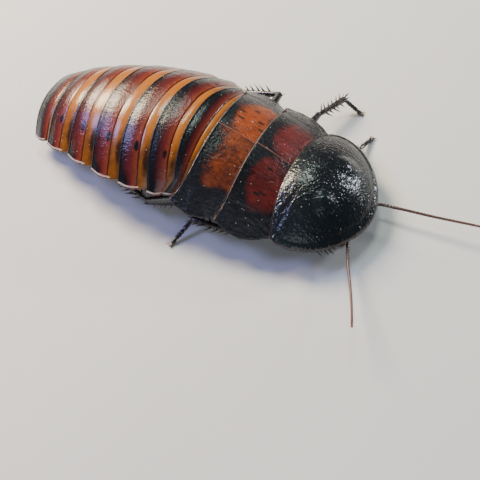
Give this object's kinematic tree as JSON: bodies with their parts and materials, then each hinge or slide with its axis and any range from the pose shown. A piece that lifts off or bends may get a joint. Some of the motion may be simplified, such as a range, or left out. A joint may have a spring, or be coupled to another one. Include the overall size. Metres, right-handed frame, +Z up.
{
  "type": "cockroach animal model",
  "caption": "Still life-size hissing cockroach, adult female, with plated back, six spiny legs and two long feelers, standing on its own feet.",
  "frame": {"origin": "on the floor under the middle of the whole animal, feelers and legs included", "axes": "+X towards the head, +Y towards the animal's left side, +Z up"},
  "size_m": [0.0916, 0.0474, 0.0151],
  "materials": {
    "shield_cuticle": "glossy blue-black cuticle, finely wrinkled and dimpled",
    "thorax_cuticle": "black cuticle with dark red-brown patches",
    "abdomen_cuticle": "glossy banded cuticle, black to maroon to amber",
    "belly_cuticle": "smooth amber-brown belly cuticle",
    "chest_cuticle": "dull brown cuticle",
    "head_cuticle": "dark brown-black cuticle",
    "eye_surface": "dark glossy faceted eye",
    "mouth_feeler_cuticle": "brown cuticle",
    "feeler_cuticle": "dark red-brown ringed cuticle",
    "cercus_cuticle": "dark brown cuticle with short bristles",
    "leg_cuticle": "glossy black cuticle"
  },
  "bodies": {
    "root": {"cercus_left": "cercus_cuticle", "cercus_right": "cercus_cuticle", "coxa_fore_left": "leg_cuticle", "coxa_fore_right": "leg_cuticle", "coxa_hind_left": "leg_cuticle", "coxa_hind_right": "leg_cuticle", "coxa_mid_left": "leg_cuticle", "coxa_mid_right": "leg_cuticle", "eye_left": "eye_surface", "eye_right": "eye_surface", "feeler_far_left": "feeler_cuticle", "feeler_far_right": "feeler_cuticle", "feeler_near_left": "feeler_cuticle", "feeler_near_right": "feeler_cuticle", "feeler_root_left": "feeler_cuticle", "feeler_root_right": "feeler_cuticle", "femur_fore_left": "leg_cuticle", "femur_fore_right": "leg_cuticle", "femur_hind_left": "leg_cuticle", "femur_hind_right": "leg_cuticle", "femur_mid_left": "leg_cuticle", "femur_mid_right": "leg_cuticle", "head": "head_cuticle", "labial_palp_left": "mouth_feeler_cuticle", "labial_palp_right": "mouth_feeler_cuticle", "maxillary_palp_left": "mouth_feeler_cuticle", "maxillary_palp_right": "mouth_feeler_cuticle", "mesonotum": "thorax_cuticle", "mesothorax": "chest_cuticle", "metanotum": "thorax_cuticle", "metathorax": "chest_cuticle", "pronotum": "shield_cuticle", "prothorax": "chest_cuticle", "sternite_2": "belly_cuticle", "sternite_3": "belly_cuticle", "sternite_4": "belly_cuticle", "sternite_5": "belly_cuticle", "sternite_6": "belly_cuticle", "sternite_7": "belly_cuticle", "supra_anal_plate": "abdomen_cuticle", "tarsus_fore_left": "leg_cuticle", "tarsus_fore_right": "leg_cuticle", "tarsus_hind_left": "leg_cuticle", "tarsus_hind_right": "leg_cuticle", "tarsus_mid_left": "leg_cuticle", "tarsus_mid_right": "leg_cuticle", "tergite_1": "abdomen_cuticle", "tergite_2": "abdomen_cuticle", "tergite_3": "abdomen_cuticle", "tergite_4": "abdomen_cuticle", "tergite_5": "abdomen_cuticle", "tergite_6": "abdomen_cuticle", "tergite_7": "abdomen_cuticle", "tibia_fore_left": "leg_cuticle", "tibia_fore_right": "leg_cuticle", "tibia_hind_left": "leg_cuticle", "tibia_hind_right": "leg_cuticle", "tibia_mid_left": "leg_cuticle", "tibia_mid_right": "leg_cuticle"}
  },
  "joints": []
}
